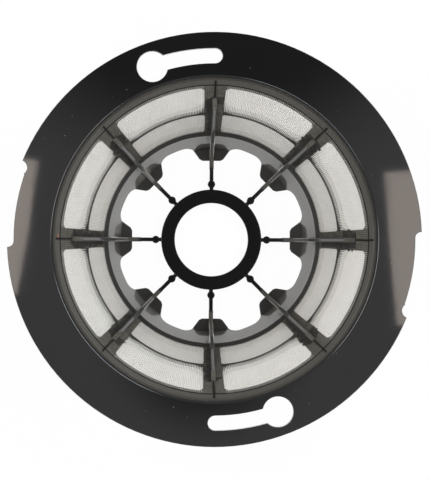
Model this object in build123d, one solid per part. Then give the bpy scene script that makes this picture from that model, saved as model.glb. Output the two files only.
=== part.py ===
from build123d import *
import os
from math import asin, cos, radians, sin, tan

# All lengths are in millimetres and all angles in degrees.
# Depths are measured down from the flange's top face. Z is measured up from the plane the basket stands on.

# Flange
flange_diameter = 145.0
flange_thickness = 2.2
mouth_diameter = 113.0
mouth_chamfer = 0.8

# Keyholes, each an entry hole with a curved slot that runs clockwise from it
keyhole_count = 2
keyhole_circle_diameter = 128.3
keyhole_entry_diameter = 10.75
keyhole_entry_angle = 110.3
keyhole_slot_width = 5.25
keyhole_slot_sweep = 20.0

# Recesses in the rim, each with a round detent notch just before it
recess_count = 2
recess_depth = 2.3
recess_start_angle = 161.4
recess_sweep = 20.9
recess_end_round = 2.0
notch_diameter = 5.1
notch_angle = 160.1

# Conical wall
wall_angle = 25.7
wall_thickness = 1.8
mouth_shelf_depth = 1.6
mouth_shelf_width = 0.8

# Windows between the bars, in two rows
bar_count = 8
bar_angle = 8.2
upper_window_depth = 6.4
upper_window_height = 15.0
upper_window_corner_cut = 1.3
flare_length = 4.0
flare_height = 2.4
hoop_height = 1.8
lower_window_height = 11.5
lower_window_corner_cut = 0.7

# Ledge under the lower windows, skirt below it, and the feet that carry the tabs
ledge_width = 1.55
skirt_height = 9.3
foot_height = 5.0
foot_width = 13.1
lobe_round = 4.0
tab_thickness = 2.1
tab_reach = 4.25
tab_root_width = 14.3
tab_tip_width = 8.1
tab_tip_chamfer = 0.7

# Fins down the bars, spokes, bosses and hub
fin_top_depth = 12.4
fin_stand = 4.0
fin_thickness = 1.65
spoke_thickness = 1.5
spoke_height = 4.0
spoke_step_diameter = 52.6
boss_diameter = 3.0
boss_sides = 8
boss_circle_diameter = 41.6
hub_diameter = 37.6
hub_bore_diameter = 27.4
hub_height = 4.5

# Woven screen, with its warp as ridges and its open weave as slots between them
mesh_thickness = 0.5
mesh_lap = 2.2
mesh_slots_per_window = 5
mesh_slot_angle = 3.6
mesh_slot_margin = 0.8
ridge_stand = 0.25
ridge_thickness = 0.8
ridge_end_gap = 0.4

# How far a cutting shape runs past the face it cuts
overrun = 2.0

# Depths down the wall, stacked from the mouth to the base
hoop_depth = upper_window_depth + upper_window_height
lower_window_depth = hoop_depth + hoop_height
ledge_depth = lower_window_depth + lower_window_height
scallop_depth = ledge_depth + skirt_height
base_depth = scallop_depth + foot_height
tab_top_depth = base_depth - tab_thickness
spoke_top_depth = base_depth - spoke_height
mesh_top_depth = upper_window_depth - mesh_lap

# Radii, widths and angles that follow from the sizes above
flange_radius = flange_diameter / 2
mouth_radius = mouth_diameter / 2
recess_radius = flange_radius - recess_depth
wall_slope = tan(radians(wall_angle))
wall_width = wall_thickness / cos(radians(wall_angle))
mesh_width = mesh_thickness / cos(radians(wall_angle))
fin_root = (mesh_width + wall_width) / 2
bar_pitch = 360 / bar_count
window_angle = bar_pitch - bar_angle
facets_per_pitch = mesh_slots_per_window + 2
facet_angle = bar_pitch / facets_per_pitch


def height(depth):
    """Z of a depth below the flange's top face."""
    return base_depth - depth


def wall_radius(depth):
    """Radius of the wall's inner face at a depth."""
    return mouth_radius - mouth_shelf_width - (depth - mouth_shelf_depth) * wall_slope


def wall_point(depth, outward=0.0):
    """Point of the half section, some way outward from the wall's inner face."""
    return (wall_radius(depth) + outward, height(depth))


kink_radius = wall_radius(tab_top_depth)
ledge_radius = wall_radius(ledge_depth) - ledge_width
ledge_foot_depth = ledge_depth + ledge_width / wall_slope


def polar_point(radius, angle):
    """Point of the XY plane at a radius and an angle."""
    return (radius * cos(radians(angle)), radius * sin(radians(angle)))


def half_section(points):
    """Closed face in the XZ plane, from radius and Z pairs."""
    return Plane.XZ * make_face(Polyline(*points, close=True))


def corners_at(section, radius, z):
    """Corners of a half section that lie at a radius and a Z."""
    spot = Vector(radius, 0, z)
    return [corner for corner in section.vertices() if (Vector(corner) - spot).length < 1e-6]


def ring_sector(inner_radius, outer_radius, start_angle, sweep):
    """Flat piece of a ring between two radii and two angles."""
    inner_arc = CenterArc((0, 0), inner_radius, start_angle, sweep)
    outer_arc = CenterArc((0, 0), outer_radius, start_angle, sweep)
    first_side = Line(inner_arc @ 0, outer_arc @ 0)
    second_side = Line(inner_arc @ 1, outer_arc @ 1)
    return make_face(inner_arc + outer_arc + first_side + second_side)


def around(shape, count, start_angle=0.0):
    """Equally spaced copies of a shape about Z."""
    return [place * shape for place in PolarLocations(0, count, start_angle)]


def through_flange(outline):
    """Cutting shape that carries an outline right through the flange."""
    return Pos(0, 0, height(flange_thickness + overrun)) * extrude(outline, flange_thickness + 2 * overrun)


def upright_plate(points, thickness):
    """Plate that stands in the XZ plane with its thickness centred on it."""
    return extrude(half_section(points), thickness / 2, both=True)


def turned_wall():
    """Flange, mouth, conical wall, ledge and skirt as one turned body."""
    section = half_section(
        [
            (flange_radius, height(0)),
            (flange_radius, height(flange_thickness)),
            wall_point(flange_thickness, wall_width),
            wall_point(base_depth, wall_width),
            (kink_radius, height(base_depth)),
            (kink_radius, height(tab_top_depth)),
            (ledge_radius, height(ledge_foot_depth)),
            (ledge_radius, height(ledge_depth)),
            wall_point(ledge_depth),
            wall_point(mouth_shelf_depth),
            (mouth_radius, height(mouth_shelf_depth)),
            (mouth_radius, height(0)),
        ]
    )
    section = chamfer(corners_at(section, mouth_radius, height(0)), mouth_chamfer)
    return revolve(section, Axis.Z)


def keyhole():
    """Cutting shape of one keyhole: the entry hole and its curved slot."""
    circle_radius = keyhole_circle_diameter / 2
    entry = Pos(*polar_point(circle_radius, keyhole_entry_angle)) * Circle(keyhole_entry_diameter / 2)
    slot_end_angle = keyhole_entry_angle - keyhole_slot_sweep
    track = CenterArc((0, 0), circle_radius, slot_end_angle, keyhole_slot_sweep)
    return through_flange(entry + SlotArc(track, keyhole_slot_width))


def rim_recess():
    """Cutting shape of one recess in the rim and of the notch beside it."""
    outline = ring_sector(recess_radius, flange_radius + overrun, recess_start_angle, recess_sweep)
    end_spot = polar_point(recess_radius, recess_start_angle + recess_sweep)
    end_corner = outline.vertices().sort_by_distance(end_spot)[0]
    outline = fillet(end_corner, recess_end_round)
    notch = Pos(*polar_point(flange_radius, notch_angle)) * Circle(notch_diameter / 2)
    return through_flange(outline + notch)


def window(top_depth, window_height):
    """Cutting shape of one window, centred on +X, with radial sides."""
    bottom_depth = top_depth + window_height
    inner_radius = wall_radius(bottom_depth) - overrun
    outer_radius = wall_radius(top_depth) + wall_width + overrun
    outline = ring_sector(inner_radius, outer_radius, -window_angle / 2, window_angle)
    return Pos(0, 0, height(bottom_depth)) * extrude(outline, window_height)


def through_edges(cutter):
    """Straight edges of a window's cutting shape that run out through the wall, in rows from the lowest."""
    return cutter.edges().filter_by(GeomType.LINE).filter_by(Axis.Z, reverse=True).group_by(Axis.Z)


def upper_window():
    """Window of the upper row, with cut upper corners and a flare into the bar at each lower one."""
    cutter = window(upper_window_depth, upper_window_height)
    cutter = chamfer(through_edges(cutter)[-1], upper_window_corner_cut)
    lower_face = cutter.faces().sort_by(Axis.Z)[0]
    return chamfer(through_edges(cutter)[0], flare_length, flare_height, reference=lower_face)


def lower_window():
    """Window of the lower row, with all four corners cut."""
    cutter = window(lower_window_depth, lower_window_height)
    rows = through_edges(cutter)
    return chamfer(rows[0] + rows[-1], lower_window_corner_cut)


def lobe():
    """Cutting shape of one scallop between two feet, centred on +X."""
    foot_half_angle = asin(foot_width / 2 / kink_radius)
    lobe_width = 2 * kink_radius * sin(radians(bar_pitch / 2) - foot_half_angle)
    lobe_height = foot_height + overrun
    outline = Pos(0, foot_height - lobe_height / 2) * Rectangle(lobe_width, lobe_height)
    outline = fillet(outline.vertices().group_by(Axis.Y)[-1], lobe_round)
    return extrude(Plane.YZ * outline, mouth_radius)


def tab():
    """Flat tab that reaches inward from one foot, narrowing to bevelled corners."""
    root_radius = (kink_radius + wall_radius(base_depth) + wall_width) / 2
    tip_radius = kink_radius - tab_reach
    outline = make_face(
        Polyline(
            (tip_radius, -tab_tip_width / 2),
            (kink_radius, -tab_root_width / 2),
            (root_radius, -foot_width / 2),
            (root_radius, foot_width / 2),
            (kink_radius, tab_root_width / 2),
            (tip_radius, tab_tip_width / 2),
            close=True,
        )
    )
    outline = chamfer(outline.vertices().group_by(Axis.X)[0], tab_tip_chamfer)
    return extrude(outline, tab_thickness)


def fin():
    """Fin that stands on one bar, follows the wall down and runs out over the tab."""
    step_radius = spoke_step_diameter / 2
    points = [
        wall_point(fin_top_depth, fin_root),
        wall_point(fin_top_depth, -fin_stand),
        wall_point(spoke_top_depth, -fin_stand),
        (step_radius, height(spoke_top_depth)),
        (step_radius, height(base_depth)),
        wall_point(base_depth, fin_root),
    ]
    return upright_plate(points, fin_thickness)


def spoke():
    """Thin inner end of a spoke, with the round boss near the hub."""
    hub_middle = (hub_diameter + hub_bore_diameter) / 4
    step_radius = spoke_step_diameter / 2
    blade_points = [(hub_middle, 0), (step_radius, 0), (step_radius, spoke_height), (hub_middle, spoke_height)]
    boss_outline = Pos(boss_circle_diameter / 2, 0) * RegularPolygon(boss_diameter / 2, boss_sides)
    boss = extrude(boss_outline, spoke_height)
    return upright_plate(blade_points, spoke_thickness) + boss


def hub():
    """Ring that the spokes meet."""
    return extrude(Circle(hub_diameter / 2) - Circle(hub_bore_diameter / 2), hub_height)


def facet_ring(depth, outward):
    """Corners of the many-sided screen at a depth, some way outward from the wall's inner face."""
    radius = wall_radius(depth) + outward
    corners = []
    for index in range(bar_count * facets_per_pitch):
        corners.append(Vector(*polar_point(radius, index * facet_angle), height(depth)))
    return corners


def flat_face(corners):
    """Flat face with straight edges."""
    return Face(Wire.make_polygon(corners))


def tapered_prism(outward):
    """Solid many-sided cone from the screen's top edge down to the ledge, with flat sides along the wall."""
    top = facet_ring(mesh_top_depth, outward)
    bottom = facet_ring(ledge_depth, outward)
    faces = [flat_face(top), flat_face(bottom)]
    for index in range(len(top)):
        faces.append(flat_face([top[index - 1], top[index], bottom[index], bottom[index - 1]]))
    return Solid(Shell(faces))


def plain_screen():
    """Screen before its slots and ridges, flush with the wall's inner face."""
    return tapered_prism(mesh_width) - tapered_prism(0)


def facet_angles(first, last):
    """Angles across one window, counted in facets from its middle."""
    middle = (first + last) / 2
    return [(index - middle) * facet_angle for index in range(first, last + 1)]


def screen_slots(top_depth, window_height):
    """Cutting shapes of the open weave inside one window, centred on +X, one to a facet."""
    bottom_depth = top_depth + window_height - mesh_slot_margin
    inner_radius = wall_radius(bottom_depth) - overrun
    outer_radius = wall_radius(top_depth) + mesh_width + overrun
    slot_height = window_height - 2 * mesh_slot_margin
    outline = ring_sector(inner_radius, outer_radius, -mesh_slot_angle / 2, mesh_slot_angle)
    slot = Pos(0, 0, height(bottom_depth)) * extrude(outline, slot_height)
    return [Rot(0, 0, angle) * slot for angle in facet_angles(1, mesh_slots_per_window)]


def screen_ridges():
    """Warp ridges between the slots of one window, centred on +X, one to an edge between facets."""
    top_depth = mesh_top_depth + ridge_end_gap
    bottom_depth = ledge_depth - ridge_end_gap
    ridge = upright_plate(
        [
            wall_point(top_depth, mesh_width / 2),
            wall_point(bottom_depth, mesh_width / 2),
            wall_point(bottom_depth, -ridge_stand),
            wall_point(top_depth, -ridge_stand),
        ],
        ridge_thickness,
    )
    return [Rot(0, 0, angle) * ridge for angle in facet_angles(1, mesh_slots_per_window - 1)]


def filter_frame():
    """The whole moulding."""
    middle_angle = bar_pitch / 2
    cuts = around(keyhole(), keyhole_count)
    cuts += around(rim_recess(), recess_count)
    for shape in (upper_window(), lower_window(), lobe()):
        cuts += around(shape, bar_count, middle_angle)
    moulding = turned_wall() - cuts - plain_screen()
    additions = [hub()]
    for shape in (tab(), fin(), spoke()):
        additions += around(shape, bar_count)
    return moulding + additions


def mesh_screen():
    """The woven cone, slit where the fins pass through it."""
    middle_angle = bar_pitch / 2
    cuts = around(fin(), bar_count)
    windows = ((upper_window_depth, upper_window_height), (lower_window_depth, lower_window_height))
    for top_depth, window_height in windows:
        for slot in screen_slots(top_depth, window_height):
            cuts += around(slot, bar_count, middle_angle)
    ridges = []
    for ridge in screen_ridges():
        ridges += around(ridge, bar_count, middle_angle)
    return plain_screen() - cuts + ridges


os.makedirs("parts", exist_ok=True)
export_step(filter_frame(), "parts/filter_frame.step")
export_step(mesh_screen(), "parts/mesh_screen.step")
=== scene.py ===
import math
import random

import bmesh
import bpy
from mathutils import Matrix, Vector


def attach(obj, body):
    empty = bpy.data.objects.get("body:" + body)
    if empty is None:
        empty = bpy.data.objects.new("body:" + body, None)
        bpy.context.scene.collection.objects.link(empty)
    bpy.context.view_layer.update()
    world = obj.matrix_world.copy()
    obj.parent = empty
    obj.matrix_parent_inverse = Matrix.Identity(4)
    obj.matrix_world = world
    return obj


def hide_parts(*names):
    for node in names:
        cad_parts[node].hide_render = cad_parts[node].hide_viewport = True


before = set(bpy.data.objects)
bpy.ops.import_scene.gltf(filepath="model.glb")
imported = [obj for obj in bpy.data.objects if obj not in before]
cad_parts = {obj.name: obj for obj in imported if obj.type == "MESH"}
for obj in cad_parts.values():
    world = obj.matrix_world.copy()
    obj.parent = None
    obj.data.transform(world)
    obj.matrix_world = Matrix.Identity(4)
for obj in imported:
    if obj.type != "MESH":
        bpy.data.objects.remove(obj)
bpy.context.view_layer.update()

# Sizes of the basket in metres, with depths measured down from the flange's top face
mm = 0.001
basket_height = 49.0 * mm
shelf_depth = 1.6 * mm
wall_top_radius = 55.7 * mm
wall_angle = math.radians(25.7)
screen_top_depth = 4.2 * mm
ledge_depth = 34.7 * mm
fin_count = 8
fin_half_thickness = 0.825 * mm
fin_top_depth = 12.4 * mm
hoop_depth = 21.4 * mm
hoop_height = 1.8 * mm
flare_height = 2.4 * mm
flare_angle = math.radians(5.2)
bar_half_angle = math.radians(4.1)

# Sizes of the woven screen and of what the mould leaves on it
warp_per_fin = 62
warp_radius = 0.165 * mm
weft_pitch = 0.62 * mm
weft_radius = 0.13 * mm
warp_setback = 0.17 * mm
weft_setback = 0.40 * mm
screen_end_gap = 0.7 * mm
thread_show = 0.035 * mm
thread_taper = 0.9
hoop_top_setback = 0.22 * mm
hoop_bottom_setback = -0.06 * mm
flare_setback = -0.03 * mm
flare_top_setback = 0.5 * mm
lower_bar_setback = -0.01 * mm
groove_step = 0.06 * mm
seat_cuts = 112
edge_round = 0.18 * mm
crest_round = 0.45 * mm
fin_stand = 4.0 * mm
shortest_crest = 10.0 * mm
broad_face_area = 20.0 * mm * mm
patch_columns = 7
patch_thickness = 0.22 * mm
weft_steps = 160

# Sizes of the thin ribs above the fins, with the depth of their middle and their width as an angle
rib_depth = 6.8 * mm
rib_length = 10.2 * mm
rib_angle = 0.012
rib_height = 0.7 * mm
rib_inset = 0.1 * mm
rib_round = 0.12 * mm

# Depths in millimetres that the dark patches beside each fin run down to, on its two sides
bleed_ends = ((20, 33), (34, 33), (34, 16), (34, 21), (34, 33), (17, 34), (15, 34), (19, 34))

pitch_angle = 2 * math.pi / fin_count
warp_angle = pitch_angle / warp_per_fin


def wall_radius(depth):
    """Radius of the wall's inner face at a depth."""
    return wall_top_radius - (depth - shelf_depth) * math.tan(wall_angle)


def on_wall(angle, depth, inward=0.0):
    """Point at an angle and a depth, some way in from the wall's inner face, square to it."""
    radius = wall_radius(depth) - inward * math.cos(wall_angle)
    height = basket_height - depth + inward * math.sin(wall_angle)
    return Vector((radius * math.cos(angle), radius * math.sin(angle), height))


# Mesh helpers

def keep_piece(name, shape, material, smooth_angle=40):
    """Turns a shape into a finished piece of the object."""
    mesh = bpy.data.meshes.new(name)
    shape.to_mesh(mesh)
    shape.free()
    for face in mesh.polygons:
        face.use_smooth = True
    mesh.set_sharp_from_angle(angle=math.radians(smooth_angle))
    mesh.materials.append(material)
    piece = bpy.data.objects.new(name, mesh)
    bpy.context.scene.collection.objects.link(piece)
    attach(piece, "root")
    return piece


def is_turned(face):
    """True for a face of a cone or cylinder about the basket's axis."""
    level = face.normal.to_2d()
    outward = level.dot(face.center.to_2d().normalized())
    return level.length > 0.001 and abs(outward) > level.length * math.cos(math.radians(3))


def normal_at(mesh, face, place):
    """Normal of a face at one of its corners, that of the true cone where the face is turned."""
    if not is_turned(face):
        return face.normal
    corners = [mesh.vertices[index].co for index in face.vertices]
    low = min(corners, key=lambda corner: corner.z)
    high = max(corners, key=lambda corner: corner.z)
    facing = math.copysign(1, face.normal.to_2d().dot(face.center.to_2d()))
    spoke = place.to_2d().normalized() * facing
    spread = (high.to_2d().length - low.to_2d().length) / (high.z - low.z)
    return Vector((spoke.x, spoke.y, -facing * spread)).normalized()


def blend_normals(mesh):
    """Gives flat and turned faces exact normals, and rounded edges a blend between their neighbours."""
    rounded = [item.value for item in mesh.attributes["rounded"].data]
    plain_at = {}
    rounded_at = {}
    for face in mesh.polygons:
        faces_at = rounded_at if rounded[face.index] else plain_at
        for vertex in face.vertices:
            faces_at.setdefault(vertex, []).append(face)
    normals = [Vector(corner.vector) for corner in mesh.corner_normals]
    for face in mesh.polygons:
        is_exact = is_turned(face) or abs(face.normal.z) > 0.999 or face.area > broad_face_area
        for corner in face.loop_indices:
            vertex = mesh.loops[corner].vertex_index
            place = mesh.vertices[vertex].co
            if rounded[face.index] and vertex in plain_at:
                widest = max(plain_at[vertex], key=lambda other: other.area)
                normals[corner] = normal_at(mesh, widest, place)
            elif rounded[face.index]:
                together = sum((other.normal for other in rounded_at[vertex]), Vector())
                normals[corner] = together.normalized()
            elif is_exact:
                normals[corner] = normal_at(mesh, face, place)
    mesh.normals_split_custom_set(normals)


def copies_around(shape, geometry, count):
    """Repeats a shape all the way round the basket's axis."""
    bmesh.ops.spin(
        shape, geom=geometry, cent=(0, 0, 0), axis=(0, 0, 1), use_duplicate=True,
        angle=2 * math.pi * (count - 1) / count, steps=count - 1,
    )


# Shader helpers

def node_of(tree, kind, **settings):
    """Adds a node and sets its named inputs or properties."""
    node = tree.nodes.new(kind)
    for name, value in settings.items():
        if name in node.bl_rna.properties:
            setattr(node, name, value)
        else:
            node.inputs[name.replace("_", " ")].default_value = value
    return node


def join(tree, source, target):
    """Links an output socket to an input socket."""
    tree.links.new(source, target)


def math_node(tree, operation, *values):
    """Adds a calculation on two or three values, each a number or an output socket."""
    node = tree.nodes.new("ShaderNodeMath")
    node.operation = operation
    for socket, value in zip(node.inputs, values):
        if isinstance(value, (int, float)):
            socket.default_value = value
        else:
            join(tree, value, socket)
    return node.outputs[0]


def ramp_node(tree, source, low, high):
    """Adds a smooth step that runs from 0 at low to 1 at high."""
    node = tree.nodes.new("ShaderNodeMapRange")
    node.interpolation_type = "SMOOTHSTEP"
    node.inputs["From Min"].default_value = low
    node.inputs["From Max"].default_value = high
    join(tree, source, node.inputs["Value"])
    return node.outputs["Result"]


def mix_colours(tree, amount, first, second):
    """Adds a colour mix by an amount that changes over the surface."""
    node = tree.nodes.new("ShaderNodeMix")
    node.data_type = "RGBA"
    join(tree, amount, node.inputs["Factor"])
    for socket, value in ((node.inputs["A"], first), (node.inputs["B"], second)):
        if isinstance(value, tuple):
            socket.default_value = value
        else:
            join(tree, value, socket)
    return node.outputs["Result"]


def new_material(name):
    """Starts a material with an empty surface shader."""
    material = bpy.data.materials.new(name)
    material.use_nodes = True
    shader = material.node_tree.nodes["Principled BSDF"]
    return material, material.node_tree, shader


def handling_marks():
    """Group of dust, fine scratches and skin ripple that handling and moulding leave on plastic."""
    group = bpy.data.node_groups.new("handling_marks", "ShaderNodeTree")
    for name in ("Dust", "Scratches", "Patches", "Ripple", "Sag"):
        group.interface.new_socket(name, in_out="OUTPUT", socket_type="NodeSocketFloat")
    ends = group.nodes.new("NodeGroupOutput")
    place = group.nodes.new("ShaderNodeTexCoord").outputs["Object"]

    specks = node_of(group, "ShaderNodeTexVoronoi", Scale=420.0)
    join(group, place, specks.inputs["Vector"])
    near = ramp_node(group, specks.outputs["Distance"], 0.10, 0.04)
    tone = group.nodes.new("ShaderNodeSeparateColor")
    join(group, specks.outputs["Color"], tone.inputs["Color"])
    chosen = ramp_node(group, tone.outputs["Red"], 0.86, 0.95)
    join(group, math_node(group, "MULTIPLY", near, chosen), ends.inputs["Dust"])

    lines = []
    for turn, seed in ((0.5, 3.0), (1.9, 11.0), (2.6, 23.0)):
        laid = group.nodes.new("ShaderNodeMapping")
        laid.inputs["Location"].default_value = (seed, seed, seed)
        laid.inputs["Rotation"].default_value = (0, 0, turn)
        laid.inputs["Scale"].default_value = (240, 2600, 240)
        join(group, place, laid.inputs["Vector"])
        streak = node_of(group, "ShaderNodeTexNoise", Scale=1.0, Detail=0.0)
        join(group, laid.outputs["Vector"], streak.inputs["Vector"])
        lines.append(ramp_node(group, streak.outputs["Fac"], 0.87, 0.95))
    both = math_node(group, "MAXIMUM", lines[0], lines[1])
    join(group, math_node(group, "MAXIMUM", both, lines[2]), ends.inputs["Scratches"])

    clouds = node_of(group, "ShaderNodeTexNoise", Scale=45.0, Detail=3.0)
    join(group, place, clouds.inputs["Vector"])
    join(group, clouds.outputs["Fac"], ends.inputs["Patches"])

    swell = node_of(group, "ShaderNodeTexNoise", Scale=130.0, Detail=2.0)
    join(group, place, swell.inputs["Vector"])
    join(group, swell.outputs["Fac"], ends.inputs["Ripple"])

    sag = node_of(group, "ShaderNodeTexNoise", Scale=24.0, Detail=1.0)
    join(group, place, sag.inputs["Vector"])
    join(group, sag.outputs["Fac"], ends.inputs["Sag"])
    return group


marks = handling_marks()


def placed_marks(tree):
    """Puts the handling marks into a material."""
    node = tree.nodes.new("ShaderNodeGroup")
    node.node_tree = marks
    return node.outputs


def bumped(tree, height, shader, strength, distance):
    """Drives a shader's normal from a height."""
    bump = node_of(tree, "ShaderNodeBump", Strength=strength, Distance=distance)
    join(tree, height, bump.inputs["Height"])
    join(tree, bump.outputs["Normal"], shader.inputs["Normal"])


def glossy_black_plastic():
    """Black plastic with a polished skin, a little dust and wear, and a pale painted sheen on mouth and
    skirt.
    """
    material, tree, shader = new_material("glossy_black_plastic")
    found = placed_marks(tree)
    place = tree.nodes.new("ShaderNodeTexCoord").outputs["Object"]
    parts = tree.nodes.new("ShaderNodeSeparateXYZ")
    join(tree, place, parts.inputs["Vector"])
    level = tree.nodes.new("ShaderNodeCombineXYZ")
    join(tree, parts.outputs["X"], level.inputs["X"])
    join(tree, parts.outputs["Y"], level.inputs["Y"])
    reach = node_of(tree, "ShaderNodeVectorMath", operation="LENGTH")
    join(tree, level.outputs["Vector"], reach.inputs[0])
    below_flange = ramp_node(tree, parts.outputs["Z"], basket_height - 0.5 * mm, basket_height - 2.0 * mm)
    beyond_hub = ramp_node(tree, reach.outputs["Value"], 26.0 * mm, 28.0 * mm)
    inside = math_node(tree, "MULTIPLY", below_flange, beyond_hub)
    above_screen = ramp_node(tree, parts.outputs["Z"], basket_height - 8.0 * mm, basket_height - 5.0 * mm)
    in_mouth = math_node(tree, "MULTIPLY", inside, above_screen)
    above_tabs = ramp_node(tree, parts.outputs["Z"], 2.3 * mm, 4.5 * mm)
    below_ledge = ramp_node(tree, parts.outputs["Z"], 14.2 * mm, 13.6 * mm)
    on_skirt = math_node(tree, "MULTIPLY", above_tabs, below_ledge)
    polished = math_node(tree, "MULTIPLY", inside, on_skirt)
    # Painted sheen: the mouth band and the inner skirt are lifted to a pale colour in place of the light
    # they reflect.
    painted_sheen_mask = math_node(tree, "MAXIMUM", in_mouth, polished)
    skin = mix_colours(tree, found["Patches"], (0.0055, 0.0055, 0.006, 1), (0.0075, 0.0075, 0.008, 1))
    tone = mix_colours(tree, inside, skin, (0.013, 0.012, 0.010, 1))
    painted_sheen_colour = mix_colours(tree, painted_sheen_mask, tone, (0.058, 0.053, 0.044, 1))
    worn = mix_colours(tree, found["Scratches"], painted_sheen_colour, (0.02, 0.02, 0.021, 1))
    layered_colour = mix_colours(tree, found["Dust"], worn, (0.12, 0.11, 0.10, 1))
    speck = node_of(tree, "ShaderNodeVectorMath", operation="DISTANCE")
    join(tree, place, speck.inputs[0])
    speck.inputs[1].default_value = on_wall(math.radians(178.9), 3.3 * mm)
    in_speck = ramp_node(tree, speck.outputs["Value"], 1.0 * mm, 0.5 * mm)
    rusty = mix_colours(tree, in_speck, layered_colour, (0.26, 0.09, 0.055, 1))
    join(tree, rusty, shader.inputs["Base Color"])
    satin = math_node(tree, "MULTIPLY_ADD", inside, 0.28, 0.02)
    haze = math_node(tree, "MULTIPLY_ADD", found["Patches"], 0.03, satin)
    dull = math_node(tree, "MULTIPLY_ADD", found["Dust"], 0.4, haze)
    join(tree, dull, shader.inputs["Roughness"])
    shader.inputs["IOR"].default_value = 1.5
    join(tree, math_node(tree, "SUBTRACT", 1.0, in_mouth), shader.inputs["Coat Weight"])
    shader.inputs["Coat Roughness"].default_value = 0.03
    join(tree, math_node(tree, "MULTIPLY_ADD", polished, 0.28, 1.5), shader.inputs["Coat IOR"])
    swell = math_node(tree, "MULTIPLY_ADD", found["Ripple"], 0.05, found["Sag"])
    bumped(tree, swell, shader, 1.0, 0.08 * mm)
    return material


def matt_black_plastic(name, dark, light, sheen):
    """Dull, uneven black plastic, for thin plastic that came through the weave where no mould face polished
    it, and for the painted shadow in the groove.
    """
    material, tree, shader = new_material(name)
    found = placed_marks(tree)
    place = tree.nodes.new("ShaderNodeTexCoord").outputs["Object"]
    grain = node_of(tree, "ShaderNodeTexNoise", Scale=620.0, Detail=2.0)
    join(tree, place, grain.inputs["Vector"])
    tone = mix_colours(tree, ramp_node(tree, grain.outputs["Fac"], 0.35, 0.68), dark, light)
    worn = mix_colours(tree, found["Scratches"], tone, (0.06, 0.055, 0.05, 1))
    layered_colour = mix_colours(tree, found["Dust"], worn, (0.10, 0.09, 0.08, 1))
    join(tree, layered_colour, shader.inputs["Base Color"])
    join(tree, math_node(tree, "MULTIPLY_ADD", found["Ripple"], 0.3, 0.4), shader.inputs["Roughness"])
    shader.inputs["IOR"].default_value = 1.4
    shader.inputs["Specular IOR Level"].default_value = sheen
    bumped(tree, found["Ripple"], shader, 0.3, 0.2 * mm)
    return material


def white_thread():
    """Cream-white thread, greyed below the hoop as painted shade, and dark where plastic soaked it on the
    bars.
    """
    material, tree, shader = new_material("white_thread")
    place = tree.nodes.new("ShaderNodeTexCoord").outputs["Object"]
    tone = node_of(tree, "ShaderNodeTexNoise", Scale=220.0, Detail=4.0)
    join(tree, place, tone.inputs["Vector"])
    shade = mix_colours(tree, tone.outputs["Fac"], (0.80, 0.778, 0.740, 1), (0.91, 0.893, 0.862, 1))
    parts = tree.nodes.new("ShaderNodeSeparateXYZ")
    join(tree, place, parts.inputs["Vector"])
    # Painted shade: below the hoop the thread is greyed, for the shade in the lower windows.
    hoop_top = basket_height - hoop_depth
    below_hoop = ramp_node(tree, parts.outputs["Z"], hoop_top, hoop_top - hoop_height)
    painted_shade_grey = mix_colours(tree, tone.outputs["Fac"], (0.64, 0.62, 0.585, 1), (0.76, 0.742, 0.71, 1))
    layered_colour = mix_colours(tree, below_hoop, shade, painted_shade_grey)
    angle = math_node(tree, "ARCTAN2", parts.outputs["Y"], parts.outputs["X"])
    from_fin = math_node(tree, "PINGPONG", angle, pitch_angle / 2)
    on_bar = ramp_node(tree, from_fin, bar_half_angle + 0.004, bar_half_angle - 0.002)
    soaked = mix_colours(tree, on_bar, layered_colour, (0.23, 0.215, 0.185, 1))
    join(tree, soaked, shader.inputs["Base Color"])
    join(tree, math_node(tree, "MULTIPLY_ADD", tone.outputs["Fac"], 0.3, 0.6), shader.inputs["Roughness"])
    shader.inputs["Specular IOR Level"].default_value = 0.2
    bumped(tree, tone.outputs["Fac"], shader, 0.2, 0.05 * mm)
    return material


# Pieces

def wall_offset(point):
    """How far out from the wall's inner face a point lies, measured level."""
    return math.hypot(point.x, point.y) - wall_radius(basket_height - point.z)


def angle_from_fin(point):
    """Angle between a point and the nearest fin."""
    angle = math.atan2(point.y, point.x)
    return abs(angle - round(angle / pitch_angle) * pitch_angle)


def in_screen_seat(vertex):
    """True for the seat that the woven screen lies in."""
    depth = basket_height - vertex.co.z
    beside_screen = screen_top_depth - 0.01 * mm < depth < ledge_depth + 0.01 * mm
    return beside_screen and 0.4 * mm < wall_offset(vertex.co) < 0.7 * mm


def on_fin_crest(vertex):
    """True for the corners of a fin's inner crest."""
    across = math.hypot(vertex.co.x, vertex.co.y) * math.sin(angle_from_fin(vertex.co))
    inward = -wall_offset(vertex.co)
    return abs(across - fin_half_thickness) < 0.05 * mm and abs(inward - fin_stand) < 0.1 * mm


def clear_of_wall(edge):
    """True for an edge away from the windows, the hoop and the bars."""
    for vertex in edge.verts:
        depth = basket_height - vertex.co.z
        beside_wall = -0.3 * mm < wall_offset(vertex.co) < 3.0 * mm
        if beside_wall and 2.5 * mm < depth < ledge_depth + 0.2 * mm:
            return False
    return True


def seat_geometry(shape):
    """Faces of the screen's seat, with their edges and corners."""
    faces = [face for face in shape.faces if all(in_screen_seat(vertex) for vertex in face.verts)]
    edges = {edge for face in faces for edge in face.edges}
    corners = {vertex for face in faces for vertex in face.verts}
    return faces + list(edges) + list(corners)


def fill_setback(point):
    """How far behind the wall's inner face the plastic in the weave ends."""
    depth = basket_height - point.z
    past_bar = angle_from_fin(point) - bar_half_angle
    if past_bar > 0.002 and abs(depth - hoop_depth) < 0.01 * mm:
        return flare_setback + min(past_bar / flare_angle, 1) * (hoop_top_setback - flare_setback)
    if past_bar > 0.002 and abs(depth - hoop_depth - hoop_height) < 0.01 * mm:
        return hoop_bottom_setback
    if past_bar > 0.002 and hoop_depth - flare_height - 0.01 * mm < depth < hoop_depth:
        return flare_top_setback
    if depth > hoop_depth:
        return lower_bar_setback
    depth_share = (depth - screen_top_depth) / (ledge_depth - screen_top_depth)
    thread_size = warp_radius * (1 - (1 - thread_taper) * depth_share)
    return warp_setback - thread_size + thread_show


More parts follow.
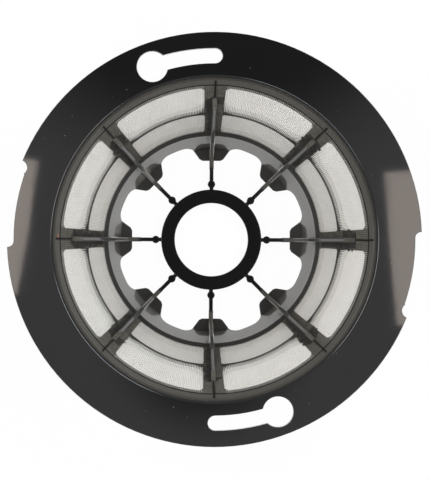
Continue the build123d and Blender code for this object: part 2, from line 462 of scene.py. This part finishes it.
def fill_screen_seat(shape):
    """Lets plastic run into the weave on the bars and the hoop, and leaves a groove under the mouth."""
    groove_bottom = basket_height - screen_top_depth - screen_end_gap
    hoop_top = basket_height - hoop_depth
    for level in (groove_bottom, groove_bottom + groove_step, hoop_top, hoop_top - hoop_height):
        bmesh.ops.bisect_plane(
            shape, geom=seat_geometry(shape), plane_co=(0, 0, level), plane_no=(0, 0, 1), dist=1e-7,
        )
    for index in range(seat_cuts):
        angle = math.pi * (index + 0.5) / seat_cuts
        across = (-math.sin(angle), math.cos(angle), 0)
        bmesh.ops.bisect_plane(
            shape, geom=seat_geometry(shape), plane_co=(0, 0, 0), plane_no=across, dist=1e-7,
        )
    for vertex in shape.verts:
        if in_screen_seat(vertex) and vertex.co.z < groove_bottom + 0.01 * mm:
            setback = fill_setback(vertex.co) / math.cos(wall_angle)
            radius = wall_radius(basket_height - vertex.co.z) + setback
            stretch = radius / math.hypot(vertex.co.x, vertex.co.y)
            vertex.co = Vector((vertex.co.x * stretch, vertex.co.y * stretch, vertex.co.z))


def round_edges(shape, edges, size, steps):
    """Rounds the named edges and gives back the new faces."""
    return bmesh.ops.bevel(
        shape, geom=edges, offset=size, offset_type="OFFSET", segments=steps, profile=0.5,
        affect="EDGES", material=-1, clamp_overlap=False,
    )["faces"]


def in_filled_seat(face):
    """True for plastic that fills the weave, level with the wall's inner face."""
    depth = basket_height - face.center.z
    return screen_top_depth < depth < ledge_depth and -0.2 * mm < wall_offset(face.center) < 0.3 * mm


def on_hoop(face):
    """True for the hoop between the bars."""
    depth = basket_height - face.center.z
    return hoop_depth < depth < hoop_depth + hoop_height and angle_from_fin(face.center) > bar_half_angle


def in_groove(face):
    """True for the narrow groove above the screen's upper edge."""
    depth = basket_height - face.center.z
    at_edge = screen_top_depth - 0.01 * mm < depth < screen_top_depth + screen_end_gap
    return at_edge and 0.05 * mm < wall_offset(face.center) < 0.7 * mm


def on_fin_head(face):
    """True for the flat head of a fin."""
    depth = basket_height - face.center.z
    return abs(depth - fin_top_depth) < 0.1 * mm and face.normal.z > 0.7


def moulded_frame(node, finishes):
    """The moulding, with its flat faces made whole and its edges rounded as a mould leaves them."""
    shape = bmesh.new()
    shape.from_mesh(node.data)
    rounded = shape.faces.layers.int.new("rounded")
    bmesh.ops.remove_doubles(shape, verts=shape.verts, dist=0.5e-6)
    bmesh.ops.dissolve_limit(
        shape, angle_limit=math.radians(0.4), verts=shape.verts, edges=shape.edges,
    )
    crests = [edge for edge in shape.edges if all(on_fin_crest(vertex) for vertex in edge.verts)]
    long_crests = [edge for edge in crests if edge.calc_length() > shortest_crest]
    for face in round_edges(shape, long_crests, crest_round, 3):
        face[rounded] = 1
    sharp = []
    for edge in shape.edges:
        is_sharp = edge.is_manifold and edge.is_convex and edge.calc_face_angle() > math.radians(35)
        if is_sharp and clear_of_wall(edge):
            sharp.append(edge)
    for face in round_edges(shape, sharp, edge_round, 3):
        face[rounded] = 1
    fill_screen_seat(shape)
    piece = keep_piece("moulded_frame", shape, finishes["skin"], 35)
    for name in ("bar", "hoop", "groove"):
        piece.data.materials.append(finishes[name])
    for face in piece.data.polygons:
        # The groove faces get the very dark plastic, a painted shadow in the narrow gap above the screen.
        if in_groove(face):
            face.material_index = 3
        elif in_filled_seat(face) and on_hoop(face):
            face.material_index = 2
        # The fins' flat heads get the lighter bar plastic as a painted highlight on their tops.
        elif in_filled_seat(face) or on_fin_head(face):
            face.material_index = 1
    blend_normals(piece.data)
    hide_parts("filter_frame")


def wrap_on_wall(shape, fin_angle):
    """Bends a flat shape onto the wall: x goes round as an angle, y down as a depth, z in from the wall."""
    for vertex in shape.verts:
        vertex.co = on_wall(fin_angle + vertex.co.x, vertex.co.y, vertex.co.z)


def add_shape(whole, shape):
    """Adds a finished shape to a whole and lets go of it."""
    mesh = bpy.data.meshes.new("passing")
    shape.to_mesh(mesh)
    shape.free()
    whole.from_mesh(mesh)
    bpy.data.meshes.remove(mesh)


def bleed_patch(fin_angle, side, last_depth, chance):
    """One dark patch where plastic came through the weave beside a fin, stepped along the threads."""
    row_depth = weft_pitch * math.cos(wall_angle)
    first_depth = fin_top_depth + chance.uniform(-0.6, 0.3) * mm
    rows = int((last_depth - first_depth) / row_depth)
    shape = bmesh.new()
    bmesh.ops.create_grid(shape, x_segments=patch_columns, y_segments=rows, size=0.5)
    widths = []
    wide = True
    while len(widths) < rows:
        depth = first_depth + len(widths) * row_depth
        width = 5 if depth < hoop_depth else 4
        if not widths:
            width -= chance.choice((1, 2, 3))
        elif wide:
            width += chance.choice((0, 0, 1))
        else:
            width -= chance.choice((0, 1, 1))
        widths += [width] * chance.choice((1, 2, 2, 3))
        wide = not wide
    outside = []
    for face in shape.faces:
        centre = face.calc_center_median()
        column = int((centre.x + 0.5) * patch_columns)
        row = int((centre.y + 0.5) * rows)
        if column >= widths[row]:
            outside.append(face)
    bmesh.ops.delete(shape, geom=outside, context="FACES")
    for vertex in shape.verts:
        column = (vertex.co.x + 0.5) * patch_columns + 0.5
        row = (vertex.co.y + 0.5) * rows
        if vertex.is_boundary and column > 1:
            column += chance.uniform(-0.3, 0.3)
            row += chance.uniform(-0.3, 0.3)
        depth = min(first_depth + row * row_depth, ledge_depth)
        vertex.co = Vector((side * column * warp_angle, depth, chance.uniform(0.02, 0.07) * mm))
    bmesh.ops.recalc_face_normals(shape, faces=shape.faces)
    bmesh.ops.solidify(shape, geom=shape.faces[:], thickness=patch_thickness)
    wrap_on_wall(shape, fin_angle)
    bmesh.ops.recalc_face_normals(shape, faces=shape.faces)
    return shape


def bleed_patches(material):
    """Dark patches on both sides of every fin."""
    chance = random.Random(7)
    whole = bmesh.new()
    for index in range(fin_count):
        for side, last_depth in zip((1, -1), bleed_ends[index]):
            add_shape(whole, bleed_patch(index * pitch_angle, side, last_depth * mm, chance))
    keep_piece("bleed_patches", whole, material, 30)


def lead_ribs(material):
    """Thin ribs that run from the mouth down towards the fins."""
    whole = bmesh.new()
    for index in range(fin_count):
        rib = bmesh.new()
        bmesh.ops.create_cube(rib, size=1.0)
        stretch = Matrix.Diagonal((rib_angle, rib_length, rib_height, 1))
        lie = Matrix.Translation((0, rib_depth, rib_inset)) @ stretch
        bmesh.ops.transform(rib, matrix=lie, verts=rib.verts)
        wrap_on_wall(rib, index * pitch_angle)
        bmesh.ops.recalc_face_normals(rib, faces=rib.faces)
        round_edges(rib, rib.edges[:], rib_round, 2)
        add_shape(whole, rib)
    keep_piece("lead_ribs", whole, material, 35)


def screen_warp(material):
    """Threads that run straight down the cone, side by side."""
    shape = bmesh.new()
    top = on_wall(warp_angle / 2, screen_top_depth + screen_end_gap, -warp_setback)
    bottom = on_wall(warp_angle / 2, ledge_depth, -warp_setback)
    along = top - bottom
    bmesh.ops.create_cone(
        shape, cap_ends=True, segments=5, depth=along.length,
        radius1=warp_radius * thread_taper, radius2=warp_radius,
    )
    turn = along.to_track_quat("Z", "Y").to_matrix().to_4x4()
    bmesh.ops.transform(shape, matrix=Matrix.Translation((top + bottom) / 2) @ turn, verts=shape.verts)
    thread = shape.verts[:] + shape.edges[:] + shape.faces[:]
    copies_around(shape, thread, fin_count * warp_per_fin)
    return keep_piece("screen_warp", shape, material, 80)


def screen_weft(material):
    """Threads that run round the cone behind the warp."""
    shape = bmesh.new()
    slant = (ledge_depth - screen_top_depth - screen_end_gap) / math.cos(wall_angle)
    for index in range(int(slant / weft_pitch)):
        depth = screen_top_depth + screen_end_gap + (index + 0.5) * weft_pitch * math.cos(wall_angle)
        ring = bmesh.ops.create_circle(shape, cap_ends=False, segments=4, radius=weft_radius)["verts"]
        upright = Matrix.Rotation(math.pi / 2, 4, "X")
        bmesh.ops.transform(
            shape, matrix=Matrix.Translation(on_wall(0, depth, -weft_setback)) @ upright, verts=ring,
        )
    bmesh.ops.spin(
        shape, geom=shape.verts[:] + shape.edges[:], cent=(0, 0, 0), axis=(0, 0, 1),
        angle=2 * math.pi, steps=weft_steps, use_merge=True,
    )
    bmesh.ops.recalc_face_normals(shape, faces=shape.faces)
    return keep_piece("screen_weft", shape, material, 80)


plastic = glossy_black_plastic()
thread = white_thread()
bar_plastic = matt_black_plastic("bar_plastic", (0.056, 0.052, 0.043, 1), (0.090, 0.084, 0.071, 1), 0.5)
bleed_plastic = matt_black_plastic("bleed_plastic", (0.014, 0.013, 0.011, 1), (0.036, 0.033, 0.028, 1), 0.5)
# Very dark dull plastic: painted shadow in the groove under the mouth, and the dark finish of the thin ribs.
groove_shade_and_rib_plastic = matt_black_plastic("groove_shade_and_rib_plastic", (0.007, 0.0065, 0.006, 1), (0.016, 0.015, 0.013, 1), 0.2)
finishes = {"skin": plastic, "bar": bar_plastic, "hoop": bleed_plastic, "groove": groove_shade_and_rib_plastic}
moulded_frame(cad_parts["filter_frame"], finishes)
bleed_patches(bleed_plastic)
lead_ribs(groove_shade_and_rib_plastic)
warp = screen_warp(thread)
weft = screen_weft(thread)
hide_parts("mesh_screen")


# Floor, light and camera

def white_floor():
    """Plain white floor that keeps a soft shadow."""
    shape = bmesh.new()
    bmesh.ops.create_grid(shape, x_segments=1, y_segments=1, size=3.0)
    mesh = bpy.data.meshes.new("floor")
    shape.to_mesh(mesh)
    shape.free()
    floor = bpy.data.objects.new("floor", mesh)
    bpy.context.scene.collection.objects.link(floor)
    material, tree, shader = new_material("floor_white")
    shader.inputs["Base Color"].default_value = (0.82, 0.82, 0.82, 1)
    shader.inputs["Roughness"].default_value = 0.9
    glow = node_of(tree, "ShaderNodeEmission", Strength=1.0)
    path = tree.nodes.new("ShaderNodeLightPath")
    seen = math_node(tree, "MAXIMUM", path.outputs["Is Camera Ray"], path.outputs["Is Glossy Ray"])
    seen = math_node(tree, "MAXIMUM", seen, path.outputs["Is Transmission Ray"])
    share = math_node(tree, "MULTIPLY", seen, 0.96)
    blend = tree.nodes.new("ShaderNodeMixShader")
    join(tree, share, blend.inputs["Fac"])
    join(tree, shader.outputs["BSDF"], blend.inputs[1])
    join(tree, glow.outputs["Emission"], blend.inputs[2])
    join(tree, blend.outputs["Shader"], tree.nodes["Material Output"].inputs["Surface"])
    mesh.materials.append(material)


def dark_spot(tree, direction, middle, inner, outer):
    """Mask that is 0 near a direction overhead and 1 away from it."""
    gap = node_of(tree, "ShaderNodeVectorMath", operation="DISTANCE")
    join(tree, direction, gap.inputs[0])
    gap.inputs[1].default_value = Vector((*middle, 1)).normalized()
    return ramp_node(tree, gap.outputs["Value"], inner, outer)


def studio_air():
    """Grey surroundings, darker where the lens looks down and to either side of it."""
    world = bpy.data.worlds.new("studio_air")
    bpy.context.scene.world = world
    world.use_nodes = True
    tree = world.node_tree
    place = tree.nodes.new("ShaderNodeTexCoord").outputs["Generated"]
    lens = dark_spot(tree, place, (0.028, 0.002), 0.028, 0.065)
    beyond = dark_spot(tree, place, (0.03, 0.20), 0.105, 0.18)
    below = dark_spot(tree, place, (0.03, -0.05), 0.03, 0.072)
    open_air = math_node(tree, "MULTIPLY", math_node(tree, "MULTIPLY", lens, beyond), below)
    overhead = mix_colours(tree, open_air, (0.03, 0.03, 0.03, 1), (0.36, 0.36, 0.365, 1))
    parts = tree.nodes.new("ShaderNodeSeparateXYZ")
    join(tree, place, parts.inputs["Vector"])
    low = ramp_node(tree, parts.outputs["Z"], 0.5, 0.15)
    air = mix_colours(tree, low, overhead, (0.24, 0.24, 0.24, 1))
    join(tree, air, tree.nodes["Background"].inputs["Color"])
    tree.nodes["Background"].inputs["Strength"].default_value = 1.0


def soft_lamp(name, place, target, width, length, power, colour, turn=0.0):
    """Rectangular lamp that faces a point."""
    light = bpy.data.lights.new(name, "AREA")
    light.shape = "RECTANGLE"
    light.size = width
    light.size_y = length
    light.energy = power
    light.color = colour
    lamp = bpy.data.objects.new(name, light)
    facing = (Vector(target) - Vector(place)).to_track_quat("-Z", "Y").to_matrix().to_4x4()
    lamp.matrix_world = Matrix.Translation(place) @ facing @ Matrix.Rotation(turn, 4, "Z")
    bpy.context.scene.collection.objects.link(lamp)


def photo_camera():
    """Camera almost straight above the mouth, at the photograph's distance and tilt."""
    data = bpy.data.cameras.new("photo_camera")
    data.sensor_width = 36.0
    data.lens = 129.03
    camera = bpy.data.objects.new("photo_camera", data)
    camera.location = (-0.0201, -0.00157, 0.649)
    camera.rotation_euler = (math.radians(0.121), math.radians(-1.894), math.radians(0.27))
    bpy.context.scene.collection.objects.link(camera)
    bpy.context.scene.camera = camera


white_floor()
studio_air()
warm_white = (1.0, 0.97, 0.93)
cool_white = (0.92, 0.97, 1.0)
lamp_reach = 0.75
lamp_height = 0.85
lamp_target = (0, 0, 0.02)
key_lamps = (
    (40, 6.0, cool_white),
    (160, 5.7, warm_white),
    (235, 3.3, cool_white),
    (335, 4.4, warm_white),
)
for towards, power, colour in key_lamps:
    around = math.radians(towards)
    stand = (lamp_reach * math.cos(around), lamp_reach * math.sin(around), lamp_height)
    soft_lamp(f"key_lamp_{towards}", stand, lamp_target, 0.7, 0.4, power, colour)
card_warm = (1.0, 0.87, 0.78)
card_height = 1.3
card_width = 0.07
cards = (
    ("left_card", -0.1935, 0.020, 0.145, 0.080, -9),
    ("right_card", 0.2655, -0.003, 0.166, 0.088, 5),
)
for name, x, y, length, power, turn in cards:
    stand = (x, y, card_height)
    soft_lamp(name, stand, (x, y, 0), card_width, length, power, card_warm, math.radians(turn))
photo_camera()
bpy.context.scene.view_settings.view_transform = "Standard"
